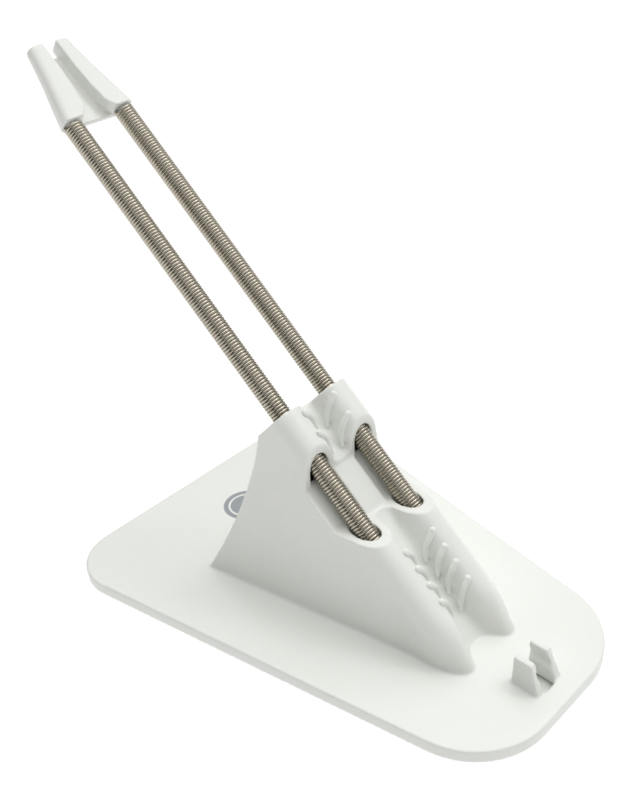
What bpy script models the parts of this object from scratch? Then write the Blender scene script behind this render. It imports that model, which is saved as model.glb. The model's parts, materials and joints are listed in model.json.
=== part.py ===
"""Desk stand that holds a computer mouse's cord up on a sprung arm.

A weighted white base carries a wedge-shaped tower. Two closely wound extension springs pass
through the tower's collar, cross an open window and end inside two ridges behind it. Their
upper ends carry a forked head with a groove for the cord, and two jaws at the back of the
base hold the cord where it leaves the stand.

Frame: metres, +Z up, the feet stand on Z = 0, +Y points to the narrow back end with the
jaws, and the object mirrors about X = 0. Lengths called `y` in the tower's functions are
measured from the point where the springs' axes leave the collar.
"""

import math

import bmesh
import bpy
from mathutils import Matrix, Vector

MM = 0.001
FIT_GAP = 0.3 * MM  # between pieces that touch on the real object

# Springs
WIRE = 0.8 * MM
SPRING_OUTER = 5.25 * MM
SPRING_SPACING = 15.66 * MM
ARM_TILT = math.radians(48.7)  # from upright, towards the front
ARM_LENGTH = 91.1 * MM  # collar to head
SPRING_SIDES = 20

# Where the arm bends: distances along it from the collar
SWAY_AT = 1.0 * MM
LOWER_BEND_AT = 22.0 * MM
UPPER_BEND_AT = 54.0 * MM
SWAY_ROOM_UP = 0.5 * MM
SWAY_ROOM_DOWN = 3.0 * MM
BEND_ROOM = 0.5 * MM
END_CHAMFER = 0.7 * MM
END_TAPER = 1.2 * MM

# Base
FRONT_WIDTH = 100.6 * MM
REAR_WIDTH = 53.4 * MM
COLLAR_TO_FRONT = 51.1 * MM
NOSE_TO_REAR = 21.0 * MM
FRONT_CORNER = 13.0 * MM
REAR_CORNER = 21.0 * MM
BASE_THICKNESS = 3.7 * MM
RIM_ROUND = 1.1 * MM
TOP_WALL = 1.5 * MM
SKIRT_WALL = 2.0 * MM

# Tower
COLLAR_HEIGHT = 51.4 * MM  # springs' axes at the collar's face, above the base's underside
RIDGE_RADIUS = 5.0 * MM
BORE_CLEARANCE = 0.35 * MM
VALLEY_DEPTH = 1.5 * MM  # below the springs' axes, square to them
TOWER_FOOT_FRONT = 24.2 * MM  # half width of the foot at the tower's front
TOWER_BLOCK_START = -1.5 * TOWER_FOOT_FRONT  # the tower's block, before its front is cut
CUT_WIDTH = 4 * TOWER_FOOT_FRONT  # wider than the tower
TOWER_FRONT = -18.5 * MM
FOOT_TAPER = 0.182
NOSE_LENGTH = 13.2 * MM
NOSE_ROUND_LENGTH = 7.2 * MM
NOSE_STATIONS = 14
WALL_STATIONS = 12
NOSE_OVERRUN = 2.9 * MM  # past the point where the springs' axes would meet the base
FRONT_SWEEP = 15.0 * MM
FRONT_POWER = 1.55
TOWER_WALL = 2.2 * MM
WINDOW_WALL = 12.6 * MM  # upright back face of the collar
WINDOW_SILL = 29.5 * MM  # level top of the ridges, above the base's underside
RAMP_DEPTH = 3.2 * MM
STRIP_DEPTH = 1.7 * MM
STRIP_HALF_WIDTH = 3.7 * MM
STRIP_CUT_WIDTH = 2.2 * STRIP_HALF_WIDTH  # overlaps the cuts beside it

# Grip ribs in the valley
COLLAR_RIBS = 2
COLLAR_RIB_FIRST = 2.4 * MM  # below the collar's face
COLLAR_RIB_PITCH = 6.0 * MM
RIDGE_RIBS = 4
RIDGE_RIB_LAST = 15.1 * MM  # before the point where the springs' axes would meet the base
RIDGE_RIB_PITCH = 4.66 * MM
RIB_RUN = 4.4 * MM
RIB_RADIUS = 0.55 * MM
RIB_HIGH_INWARDS = 0.62 * RIDGE_RADIUS
RIB_HIGH_OUT = 0.78 * RIDGE_RADIUS
RIB_LOW_INWARDS = 1.12 * RIDGE_RADIUS
RIB_LOW_OUT = -0.05 * RIDGE_RADIUS

# Cord jaws
JAW_TO_REAR = 5.2 * MM
JAW_LENGTH = 7.6 * MM
JAW_TOP_LENGTH = 4.8 * MM
JAW_OUTER = 4.75 * MM
JAW_OUTER_TOP = 3.95 * MM
JAW_INNER = 2.2 * MM
JAW_CHANNEL_RADIUS = 2.8 * MM
JAW_CHANNEL_HEIGHT = 4.4 * MM  # its middle, above the base
JAW_HEIGHT = 7.8 * MM

# Head
HEAD_LENGTH = 22.6 * MM
HEAD_BOTTOM_WIDTH = 20.9 * MM
HEAD_TOP_WIDTH = 11.6 * MM
HEAD_BOTTOM_DEPTH = 5.3 * MM
HEAD_TOP_DEPTH = 3.8 * MM
HEAD_EDGE = 1.2 * MM
GROOVE_TOP_WIDTH = 3.8 * MM
GROOVE_WAIST_WIDTH = 4.8 * MM
GROOVE_WAIST = 8.0 * MM  # above the head's bottom
GROOVE_MOUTH_WIDTH = 7.0 * MM
GROOVE_FLOOR = -1.2 * MM  # from the springs' axes, along the head's face normal
TIP_NOTCH = 2.6 * MM
PEG_CLEARANCE = 0.25 * MM
HEAD_PEG_LENGTH = 8.0 * MM

# Cover, ballast, feet and screws
COVER_THICKNESS = 1.4 * MM
FOOT_PROUD = 0.8 * MM
FOOT_DIAMETER = 10.0 * MM
FOOT_RECESS = 0.7 * MM
FOOT_FRONT_INSET = (14.3 * MM, 12.1 * MM)  # from the sharp corner of the outline
FOOT_REAR_INSET = (9.7 * MM, 16.2 * MM)
BALLAST_SIZE = (20.0 * MM, 26.0 * MM, 10.5 * MM)
BALLAST_CENTRE = 15.5 * MM
BOSS_RADIUS = 3.5 * MM
FRONT_BOSS = -2.0 * MM
FRONT_BOSS_TOP = 22.0 * MM
BOSS_COVER = 0.6 * MM  # wall left outside a boss's top
REAR_BOSS = 34.0 * MM
PAD_HEIGHT = 2.6 * MM
SCREW_HEAD_RADIUS = 2.2 * MM
SCREW_HEAD_HEIGHT = 1.5 * MM
DRIVE_DEPTH = 0.6  # share of a screw head's height
DRIVE_RADIUS = 0.42  # share of a screw head's radius
SCREW_RADIUS = 1.15 * MM
SCREW_LENGTH = 9.0 * MM
PLUG_TO_LANDING = 11.3 * MM
PLUG_LENGTH = 6.0 * MM
PLUG_PEG = 8.0 * MM
GRUB_RADIUS = 0.9 * MM
GRUB_HEAD_RADIUS = 1.9 * MM
GRUB_HEAD_HEIGHT = 1.3 * MM
GRUB_BITE = 1.2 * MM

# Worked out
SPRING_RADIUS = SPRING_OUTER / 2
SPRING_BORE = SPRING_RADIUS - WIRE
BORE_RADIUS = SPRING_RADIUS + BORE_CLEARANCE
PEG_RADIUS = SPRING_BORE - PEG_CLEARANCE
BASE_LOW = FOOT_PROUD
BASE_TOP = BASE_LOW + BASE_THICKNESS
AXIS_HEIGHT = BASE_LOW + COLLAR_HEIGHT
AXIS_FALL = 1 / math.tan(ARM_TILT)  # drop of the springs' axes for each metre back
LANDING = (COLLAR_HEIGHT - BASE_THICKNESS) / AXIS_FALL  # where the axes would meet the base
LANDING_ALONG = (COLLAR_HEIGHT - BASE_THICKNESS) / math.cos(ARM_TILT)
SPRING_BURIED = LANDING_ALONG - PLUG_TO_LANDING - PLUG_LENGTH
NOSE_END = LANDING + NOSE_OVERRUN
NOSE_START = NOSE_END - NOSE_LENGTH
NOSE_ROUND_START = NOSE_END - NOSE_ROUND_LENGTH
COLLAR_TO_REAR = NOSE_END + NOSE_TO_REAR
JAW_REAR = COLLAR_TO_REAR - JAW_TO_REAR
JAW_FRONT = JAW_REAR - JAW_LENGTH
JAW_TOP_REAR = JAW_FRONT + JAW_TOP_LENGTH
FOOT_FRONT = (FRONT_WIDTH / 2 - FOOT_FRONT_INSET[0], FOOT_FRONT_INSET[1] - COLLAR_TO_FRONT)
FOOT_REAR = (REAR_WIDTH / 2 - FOOT_REAR_INSET[0], COLLAR_TO_REAR - FOOT_REAR_INSET[1])
CREST_RISE = RIDGE_RADIUS / math.sin(ARM_TILT)
VALLEY_DROP = VALLEY_DEPTH / math.sin(ARM_TILT)
CEILING_DROP = (BORE_RADIUS + TOWER_WALL) / math.sin(ARM_TILT)
ARM_REACH = (ARM_LENGTH + HEAD_LENGTH) * math.sin(ARM_TILT)
HEAD_TIP_DROP = HEAD_TOP_DEPTH / 2 * math.cos(ARM_TILT)
COLLAR_Y = (ARM_REACH + HEAD_TIP_DROP - COLLAR_TO_REAR) / 2  # centres the object on Y = 0
FAR = 0.1  # longer than any cut needs

# The arm's own axes: across, up out of its face, and along it away from the collar
ARM_NORMAL = Vector((0, math.cos(ARM_TILT), math.sin(ARM_TILT)))
ARM_UP = Vector((0, -math.sin(ARM_TILT), math.cos(ARM_TILT)))
ARM_ROOT = Vector((0, COLLAR_Y, AXIS_HEIGHT))
SIDES = {"left": 1, "right": -1}


def collection(name):
    made = bpy.data.collections.new(name)
    bpy.context.scene.collection.children.link(made)
    return made


def material(name, colour, roughness, metallic=0.0):
    made = bpy.data.materials.new(name)
    made.use_nodes = True
    shader = made.node_tree.nodes["Principled BSDF"]
    shader.inputs["Base Color"].default_value = (*colour, 1)
    shader.inputs["Roughness"].default_value = roughness
    shader.inputs["Metallic"].default_value = metallic
    made.diffuse_color = (*colour, 1)
    return made


def place(name, mesh, paint=None):
    """A new object: a piece of the stand if it has a material, and otherwise a cutter."""
    made = bpy.data.objects.new(name, mesh)
    if paint:
        PIECES.objects.link(made)
        mesh.materials.append(paint)
    else:
        CUTTERS.objects.link(made)
        made.hide_render = True
        made.display_type = "WIRE"
    return made


def face_outwards(bm):
    bmesh.ops.recalc_face_normals(bm, faces=bm.faces)
    if bm.calc_volume(signed=True) < 0:
        bmesh.ops.reverse_faces(bm, faces=bm.faces)


def mesh_of(name, build):
    mesh = bpy.data.meshes.new(name)
    bm = bmesh.new()
    build(bm)
    face_outwards(bm)
    bm.to_mesh(mesh)
    bm.free()
    return mesh


def smooth(made, angle=35):
    made.data.shade_smooth()
    made.data.set_sharp_from_angle(angle=math.radians(angle))


def boolean(target, operation, other):
    modifier = target.modifiers.new(other.name, "BOOLEAN")
    modifier.operation = operation
    modifier.object = other
    modifier.solver = "EXACT"


def box(name, low, high, paint=None):
    low, high = Vector(low), Vector(high)

    def build(bm):
        bmesh.ops.create_cube(bm, size=1)
        bmesh.ops.scale(bm, vec=high - low, verts=bm.verts)
        bmesh.ops.translate(bm, vec=(low + high) / 2, verts=bm.verts)

    return place(name, mesh_of(name, build), paint)


def rod(name, start, end, radius, end_radius=None, sides=24, paint=None):
    """A round bar, or a cone if its end radius differs, between two points."""
    start, end = Vector(start), Vector(end)
    along = end - start
    turn = Vector((0, 0, 1)).rotation_difference(along).to_matrix().to_4x4()

    def build(bm):
        bmesh.ops.create_cone(
            bm,
            cap_ends=True,
            segments=sides,
            radius1=radius,
            radius2=radius if end_radius is None else end_radius,
            depth=along.length,
            matrix=Matrix.Translation((start + end) / 2) @ turn,
        )

    made = place(name, mesh_of(name, build), paint)
    smooth(made)
    return made


def prism(name, outline, thickness, matrix, paint=None):
    """A flat outline with a thickness either side of its plane's zero, placed by a matrix."""
    curve = bpy.data.curves.new(name, "CURVE")
    curve.dimensions = "2D"
    curve.fill_mode = "BOTH"
    curve.extrude = thickness / 2
    spline = curve.splines.new("POLY")
    spline.points.add(len(outline) - 1)
    for point, (x, y) in zip(spline.points, outline):
        point.co = (x, y, 0, 1)
    spline.use_cyclic_u = True
    flat = bpy.data.objects.new(name + "_curve", curve)
    bpy.context.scene.collection.objects.link(flat)
    bpy.context.view_layer.update()
    graph = bpy.context.evaluated_depsgraph_get()
    mesh = bpy.data.meshes.new_from_object(flat.evaluated_get(graph))
    bpy.data.objects.remove(flat)
    bm = bmesh.new()
    bm.from_mesh(mesh)
    bmesh.ops.remove_doubles(bm, verts=bm.verts, dist=1e-6)
    bm.transform(matrix)
    face_outwards(bm)
    bm.to_mesh(mesh)
    bm.free()
    return place(name, mesh, paint)


def level(z):
    return Matrix.Translation((0, 0, z))


def side_view(x):
    """Turns an outline's (x, y) into the object's (Y, Z), at this X."""
    return Matrix(((0, 0, 1, x), (1, 0, 0, 0), (0, 1, 0, 0), (0, 0, 0, 1)))


def rounded(corners, radii, steps=14):
    """An outline through arcs of these radii at its corners, listed anticlockwise."""
    points = []
    for i, corner in enumerate(corners):
        corner = Vector(corner)
        before = (Vector(corners[i - 1]) - corner).normalized()
        after = (Vector(corners[(i + 1) % len(corners)]) - corner).normalized()
        half = before.angle(after) / 2
        centre = corner + (before + after).normalized() * radii[i] / math.sin(half)
        start = corner + before * radii[i] / math.tan(half) - centre
        turn = math.pi - 2 * half
        for step in range(steps + 1):
            a = turn * step / steps
            x = start.x * math.cos(a) - start.y * math.sin(a)
            y = start.x * math.sin(a) + start.y * math.cos(a)
            points.append((centre.x + x, centre.y + y))
    return points


def base_outline(inset=0.0):
    """The base's outline, drawn in by an inset."""
    front, rear = COLLAR_Y - COLLAR_TO_FRONT, COLLAR_Y + COLLAR_TO_REAR
    lean = (FRONT_WIDTH - REAR_WIDTH) / 2 / (rear - front)
    slant = inset * math.sqrt(1 + lean * lean)
    wide = FRONT_WIDTH / 2 - slant - inset * lean
    narrow = REAR_WIDTH / 2 - slant + inset * lean
    corners = [
        (-wide, front + inset),
        (wide, front + inset),
        (narrow, rear - inset),
        (-narrow, rear - inset),
    ]
    near, far = FRONT_CORNER - inset, REAR_CORNER - inset
    return rounded(corners, [near, near, far, far])


def axis_z(y):
    """Height of the springs' axes at a distance back from the collar's face."""
    return AXIS_HEIGHT - AXIS_FALL * y


def on_arm(x, along, out=0.0):
    """A point given in the arm's own axes."""
    return ARM_ROOT + Vector((x, 0, 0)) + ARM_UP * along + ARM_NORMAL * out


def foot_half_width(y):
    return TOWER_FOOT_FRONT - FOOT_TAPER * (y - TOWER_FRONT)


def wall_half_width(y, z):
    """Half width of the tower between its foot and the ridges' widest line."""
    share = (z - BASE_TOP) / (axis_z(y) - BASE_TOP)
    ridge_side = SPRING_SPACING / 2 + RIDGE_RADIUS
    return foot_half_width(y) * (1 - share) + ridge_side * share


def loft(name, stations, section):
    """A solid through one closed section at each station along Y."""

    def build(bm):
        rings = [
            [bm.verts.new((x, COLLAR_Y + y, z)) for x, z in section(y)] for y in stations
        ]
        for near, far in zip(rings, rings[1:]):
            for i in range(len(near)):
                j = (i + 1) % len(near)
                bm.faces.new((near[i], near[j], far[j], far[i]))
        bm.faces.new(reversed(rings[0]))
        bm.faces.new(rings[-1])

    return place(name, mesh_of(name, build))


def mirrored(half):
    """A closed section from its +X half, listed from the foot up to the middle."""
    return half + [(-x, z) for x, z in reversed(half) if x > 1e-9]


def tower_section(y, arc_steps=20, valley_steps=6):
    """The tower at y: sloping walls, a round ridge over each spring, a valley between."""
    nose = max(0.0, (y - NOSE_START) / (NOSE_END - NOSE_START))
    narrowing = math.sqrt(max(0.0, 1 - nose * nose))
    tip = max(0.0, (y - NOSE_ROUND_START) / (NOSE_END - NOSE_ROUND_START))
    rounding = math.sqrt(max(0.0, 1 - tip * tip))
    middle = SPRING_SPACING / 2
    half = RIDGE_RADIUS * narrowing
    sunk = BASE_TOP - TOP_WALL / 3
    widest = max(axis_z(y), sunk)
    crest = sunk + max(0.0, axis_z(y) + CREST_RISE - sunk) * rounding
    points = [(foot_half_width(min(y, NOSE_START)), BASE_TOP - 2 * TOP_WALL / 3)]
    if y > NOSE_START:
        points = [(middle + half, points[0][1])]
    for step in range(arc_steps + 1):
        a = math.pi * step / arc_steps
        z = widest + max(0.0, crest - widest) * math.sin(a)
        points.append((middle + half * math.cos(a), z))
    for step in range(1, valley_steps + 1):
        a = math.pi / 2 * step / valley_steps
        z = max(sunk, widest - VALLEY_DROP * math.sin(a))
        points.append(((middle - half) * math.cos(a), z))
    return mirrored(points)


def cavity_section(y):
    """The hollow inside the tower at y, open below."""
    ceiling = axis_z(y) - CEILING_DROP
    top_half = SPRING_SPACING / 2 + RIDGE_RADIUS - TOWER_WALL
    bottom_half = foot_half_width(y) - TOWER_WALL
    low = BASE_LOW - FIT_GAP
    return mirrored([(bottom_half, low), (top_half, ceiling), (0.0, ceiling)])


def front_profile(set_back=0.0, steps=20):
    """The region in front of the tower: its hollow-ground face and the collar's flat face."""
    top = Vector((-RIDGE_RADIUS * math.cos(ARM_TILT), -RIDGE_RADIUS * math.sin(ARM_TILT)))
    top.y += AXIS_HEIGHT
    foot = BASE_TOP if not set_back else 0.0
    outline = [(COLLAR_Y - FAR, foot)]
    for step in range(steps + 1):
        h = step / steps
        y = top.x - FRONT_SWEEP * (1 - h) ** FRONT_POWER
        outline.append((COLLAR_Y + y + set_back, foot + (top.y - foot) * h))
    end = ARM_NORMAL * FAR
    outline.append((COLLAR_Y + end.y + set_back, AXIS_HEIGHT + end.z))
    outline.append((COLLAR_Y - FAR, AXIS_HEIGHT + end.z))
    return outline


def window_profile(depth):
    """The region cut away behind the collar, down to a ramp under the springs."""
    drop = depth / math.sin(ARM_TILT)
    sill = BASE_LOW + WINDOW_SILL
    ramp_end = (AXIS_HEIGHT - drop - sill) / AXIS_FALL
    return [
        (COLLAR_Y + WINDOW_WALL, axis_z(WINDOW_WALL) - drop),
        (COLLAR_Y + ramp_end, sill),
        (COLLAR_Y + FAR, sill),
        (COLLAR_Y + FAR, AXIS_HEIGHT + FAR),
        (COLLAR_Y + WINDOW_WALL, AXIS_HEIGHT + FAR),
    ]


def make_tower():
    # The walls twist slightly along the tower, so their straight length is cut into stations.
    start = TOWER_BLOCK_START
    step = (NOSE_START - start) / WALL_STATIONS
    straight = [start + step * i for i in range(WALL_STATIONS + 1)]
    quarter = math.pi / 2 / NOSE_STATIONS
    nose = [NOSE_START + NOSE_LENGTH * math.sin(quarter * i) for i in range(1, NOSE_STATIONS)]
    tower = loft("tower_form", straight + nose + [NOSE_END - FIT_GAP / 10], tower_section)
    wide = CUT_WIDTH
    boolean(tower, "DIFFERENCE", prism("tower_front", front_profile(), wide, side_view(0)))
    strip = prism("window_middle", window_profile(STRIP_DEPTH), STRIP_CUT_WIDTH, side_view(0))
    boolean(tower, "DIFFERENCE", strip)
    for side, sign in SIDES.items():
        middle = sign * (STRIP_HALF_WIDTH + wide / 4)
        cut = prism("window_" + side, window_profile(RAMP_DEPTH), wide / 2, side_view(middle))
        boolean(tower, "DIFFERENCE", cut)
    return tower


def make_cavity():
    cavity = loft("tower_hollow", [TOWER_BLOCK_START, NOSE_START], cavity_section)
    profile = front_profile(TOWER_WALL)
    wide = CUT_WIDTH
    boolean(cavity, "DIFFERENCE", prism("hollow_front", profile, wide, side_view(0)))
    return cavity


def make_jaw(side, sign):
    """One of the two jaws: upright in front, sloping behind, its outside leaning in."""
    low = BASE_TOP - TOP_WALL / 2
    top = BASE_TOP + JAW_HEIGHT
    y_front, y_rear, y_top = (COLLAR_Y + y for y in (JAW_FRONT, JAW_REAR, JAW_TOP_REAR))

    def build(bm):
        bmesh.ops.create_cube(bm, size=2)
        for vert in bm.verts:
            upper, back, outer = vert.co.z > 0, vert.co.y > 0, vert.co.x * sign > 0
            rear = y_top if upper else y_rear
            outside = JAW_OUTER_TOP if upper else JAW_OUTER
            x = outside if outer else JAW_INNER
            vert.co = (sign * x, rear if back else y_front, top if upper else low)

    return place("jaw_" + side, mesh_of("jaw_" + side, build))


def make_ribs():
    """Short slanting grip ribs on both sides of the valley, beside the collar and behind."""
    ribs = []
    middle = SPRING_SPACING / 2
    starts = [COLLAR_RIB_FIRST + COLLAR_RIB_PITCH * i for i in range(COLLAR_RIBS)]
    last = LANDING_ALONG - RIDGE_RIB_LAST
    starts += [last - RIDGE_RIB_PITCH * i for i in range(RIDGE_RIBS)]
    for side, sign in SIDES.items():
        for number, start in enumerate(starts):
            high = on_arm(sign * (middle - RIB_HIGH_INWARDS), -start, RIB_HIGH_OUT)
            low = on_arm(sign * (middle - RIB_LOW_INWARDS), -start - RIB_RUN, RIB_LOW_OUT)
            name = f"rib_{side}_{number}"
            ribs.append(rod(name, high, low, RIB_RADIUS, sides=10))
    return ribs


def screw_places():
    """Names and places of the screws that hold the cover on."""
    x = wall_half_width(FRONT_BOSS, BASE_LOW + FRONT_BOSS_TOP) - BOSS_RADIUS - BOSS_COVER
    return {
        "front_left": (x, COLLAR_Y + FRONT_BOSS),
        "front_right": (-x, COLLAR_Y + FRONT_BOSS),
        "rear": (0.0, COLLAR_Y + REAR_BOSS),
    }


def foot_places():
    places = {}
    for end, (x, y) in (("front", FOOT_FRONT), ("rear", FOOT_REAR)):
        for side, sign in SIDES.items():
            places[f"{end}_{side}"] = (sign * x, COLLAR_Y + y)
    return places


def weigh_rim(mesh):
    """Marks for the bevel the edges round a slab's top, and none inside its end face."""
    ends = [face for face in mesh.polygons if face.normal.z > 0.5]
    used = [key for face in ends for key in face.edge_keys]
    weights = mesh.attributes.new("bevel_weight_edge", "FLOAT", "EDGE")
    for edge in mesh.edges:
        weights.data[edge.index].value = float(used.count(edge.key) == 1)


def make_shell(paint):
    shell = prism("top_shell", base_outline(), BASE_THICKNESS, level((BASE_LOW + BASE_TOP) / 2), paint)
    weigh_rim(shell.data)
    rim = shell.modifiers.new("rim", "BEVEL")
    rim.limit_method = "WEIGHT"
    rim.width = RIM_ROUND
    rim.segments = 3
    boolean(shell, "UNION", make_tower())
    boolean(shell, "DIFFERENCE", make_cavity())
    under = BASE_THICKNESS - TOP_WALL + FIT_GAP
    centre = BASE_TOP - TOP_WALL - under / 2
    hollow = prism("base_hollow", base_outline(SKIRT_WALL), under, level(centre))
    boolean(shell, "DIFFERENCE", hollow)
    boss_low = BASE_LOW + COVER_THICKNESS + PAD_HEIGHT + FIT_GAP
    for place_name, (x, y) in screw_places().items():
        top = BASE_LOW + FRONT_BOSS_TOP
        if place_name == "rear":
            top = axis_z(REAR_BOSS + BOSS_RADIUS) - VALLEY_DROP - BOSS_COVER
        boss = rod("boss_" + place_name, (x, y, boss_low), (x, y, top), BOSS_RADIUS)
        boolean(shell, "UNION", boss)
        hole_top = BASE_LOW + SCREW_HEAD_HEIGHT + SCREW_LENGTH + 2 * FIT_GAP
        hole = rod(
            "pilot_" + place_name,
            (x, y, BASE_LOW),
            (x, y, hole_top),
            SCREW_RADIUS + FIT_GAP,
            sides=16,
        )
        boolean(shell, "DIFFERENCE", hole)
    bore_end = SPRING_BURIED + PLUG_LENGTH + 2 * FIT_GAP
    for side, sign in SIDES.items():
        boolean(shell, "UNION", make_jaw(side, sign))
        x = sign * SPRING_SPACING / 2
        bore = rod("bore_" + side, on_arm(x, -bore_end), on_arm(x, WIRE), BORE_RADIUS, sides=32)
        boolean(shell, "DIFFERENCE", bore)
        grub_y = grub_along()
        hole = rod(
            "grub_hole_" + side,
            on_arm(x, -grub_y, -BORE_RADIUS - 3 * TOWER_WALL),
            on_arm(x, -grub_y),
            GRUB_RADIUS + FIT_GAP,
            sides=16,
        )
        boolean(shell, "DIFFERENCE", hole)
    for rib in make_ribs():
        boolean(shell, "UNION", rib)
    channel_z = BASE_TOP + JAW_CHANNEL_HEIGHT
    channel = rod(
        "cord_channel",
        (0, COLLAR_Y + JAW_FRONT - WIRE, channel_z),
        (0, COLLAR_Y + JAW_REAR + WIRE, channel_z),
        JAW_CHANNEL_RADIUS,
    )
    boolean(shell, "DIFFERENCE", channel)
    slot_low = (-JAW_INNER, COLLAR_Y + JAW_FRONT, BASE_LOW)
    slot_high = (JAW_INNER, COLLAR_Y + JAW_REAR, BASE_TOP + FIT_GAP)
    boolean(shell, "DIFFERENCE", box("jaw_slot", slot_low, slot_high))
    return shell


def grub_along():
    """Distance from the collar to the screws that hold the spring plugs."""
    return SPRING_BURIED + PLUG_LENGTH / 2


def make_cover(paint):
    middle = BASE_LOW + COVER_THICKNESS / 2
    outline = base_outline(SKIRT_WALL + FIT_GAP)
    cover = prism("bottom_cover", outline, COVER_THICKNESS, level(middle), paint)
    pad_top = BASE_LOW + COVER_THICKNESS + PAD_HEIGHT
    for name, (x, y) in screw_places().items():
        pad = rod("pad_" + name, (x, y, middle), (x, y, pad_top), BOSS_RADIUS)
        boolean(cover, "UNION", pad)
        head_room = BASE_LOW + SCREW_HEAD_HEIGHT + 2 * FIT_GAP
        recess = rod(
            "head_recess_" + name,
            (x, y, BASE_LOW - WIRE),
            (x, y, head_room),
            SCREW_HEAD_RADIUS + FIT_GAP,
        )
        hole = rod(
            "cover_hole_" + name, (x, y, BASE_LOW), (x, y, pad_top + WIRE), SCREW_RADIUS + FIT_GAP, sides=16
        )
        boolean(cover, "DIFFERENCE", recess)
        boolean(cover, "DIFFERENCE", hole)
    for name, (x, y) in foot_places().items():
        recess = rod(
            "foot_recess_" + name,
            (x, y, BASE_LOW - WIRE),
            (x, y, BASE_LOW + FOOT_RECESS),
            FOOT_DIAMETER / 2 + FIT_GAP,
        )
        boolean(cover, "DIFFERENCE", recess)
    return cover


def make_foot(name, x, y, paint):
    top = BASE_LOW + FOOT_RECESS - FIT_GAP
    return rod("foot_" + name, (x, y, 0), (x, y, top), FOOT_DIAMETER / 2, paint=paint)


def make_ballast(paint):
    width, length, height = BALLAST_SIZE
    low = BASE_LOW + COVER_THICKNESS + FIT_GAP
    centre = COLLAR_Y + BALLAST_CENTRE
    block = box(
        "ballast_block",
        (-width / 2, centre - length / 2, low),
        (width / 2, centre + length / 2, low + height),
        paint,
    )
    edge = block.modifiers.new("edges", "BEVEL")
    edge.width = WIRE
    edge.segments = 1
    return block


def screw(name, head_start, direction, head_radius, head_height, radius, length, paint):
    """A screw with a flat head: its head's outer face at a point, its shank along a direction."""
    start, along = Vector(head_start), Vector(direction).normalized()
    made = rod(name, start, start + along * head_height, head_radius, sides=20, paint=paint)
    shank_start = start + along * head_height / 2
    shank = rod(name + "_shank", shank_start, start + along * (head_height + length), radius, sides=16)
    boolean(made, "UNION", shank)
    recess_end = start + along * head_height * DRIVE_DEPTH
    recess = rod(
        name + "_recess", start - along * head_height, recess_end, head_radius * DRIVE_RADIUS, sides=6
    )
    boolean(made, "DIFFERENCE", recess)
    return made


def spring_piece(name, x, low, high, paint):
    """A straight stretch of closely wound coil, as a tube whose ends leave room to bend."""
    length = high - low
    profile = [
        (SPRING_BORE, length),
        (SPRING_RADIUS - END_CHAMFER, length),
        (SPRING_RADIUS, length - END_TAPER),
        (SPRING_RADIUS, END_TAPER),
        (SPRING_RADIUS - END_CHAMFER, 0),
        (SPRING_BORE, 0),
    ]
    mesh = bpy.data.meshes.new(name)
    edges = [(i, (i + 1) % len(profile)) for i in range(len(profile))]
    mesh.from_pydata([(r, 0, z) for r, z in profile], edges, [])
    made = place(name, mesh, paint)
    turned = made.modifiers.new("turned", "SCREW")
    turned.steps = turned.render_steps = SPRING_SIDES
    turned.use_merge_vertices = True
    turned.merge_threshold = 1e-6
    made.location = on_arm(x, low)
    made.rotation_euler = (ARM_TILT, 0, 0)
    return made


def make_springs(paint):
    stretches = {
        "seat": (-SPRING_BURIED, SWAY_AT - SWAY_ROOM_DOWN),
        "lower": (SWAY_AT + SWAY_ROOM_UP, LOWER_BEND_AT - BEND_ROOM),
        "middle": (LOWER_BEND_AT + BEND_ROOM, UPPER_BEND_AT - BEND_ROOM),
        "upper": (UPPER_BEND_AT + BEND_ROOM, ARM_LENGTH - FIT_GAP),
    }
    for side, sign in SIDES.items():
        for stretch, (low, high) in stretches.items():
            spring_piece(f"spring_{side}_{stretch}", sign * SPRING_SPACING / 2, low, high, paint)


def make_plug(side, sign, paint):
    """The plug in a spring's lower end, held by a small screw from inside the tower."""
    x = sign * SPRING_SPACING / 2
    top = -SPRING_BURIED - FIT_GAP
    plug = rod(
        "spring_plug_" + side, on_arm(x, top - PLUG_LENGTH), on_arm(x, top), SPRING_RADIUS, paint=paint
    )
    peg = rod("plug_peg_" + side, on_arm(x, top - WIRE), on_arm(x, top + PLUG_PEG), PEG_RADIUS)
    boolean(plug, "UNION", peg)
    hole = rod(
        "plug_hole_" + side,
        on_arm(x, -grub_along(), -2 * SPRING_RADIUS),
        on_arm(x, -grub_along(), -SPRING_RADIUS + GRUB_BITE + FIT_GAP),
        GRUB_RADIUS + FIT_GAP,
        sides=16,
    )
    boolean(plug, "DIFFERENCE", hole)
    return plug


def make_grub(side, sign, paint):
    x = sign * SPRING_SPACING / 2
    head_out = -BORE_RADIUS - TOWER_WALL - FIT_GAP - GRUB_HEAD_HEIGHT
    length = -SPRING_RADIUS + GRUB_BITE - head_out - GRUB_HEAD_HEIGHT
    start = on_arm(x, -grub_along(), head_out)
    return screw(
        "plug_screw_" + side,
        start,
        ARM_NORMAL,
        GRUB_HEAD_RADIUS,
        GRUB_HEAD_HEIGHT,
        GRUB_RADIUS,
        length,
        paint,
    )


def arm_matrix(along):
    """Places a shape drawn across, out of the face and along the arm."""
    rotation = Matrix((Vector((1, 0, 0)), ARM_NORMAL, ARM_UP)).transposed().to_4x4()
    return Matrix.Translation(on_arm(0, along)) @ rotation


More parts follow.
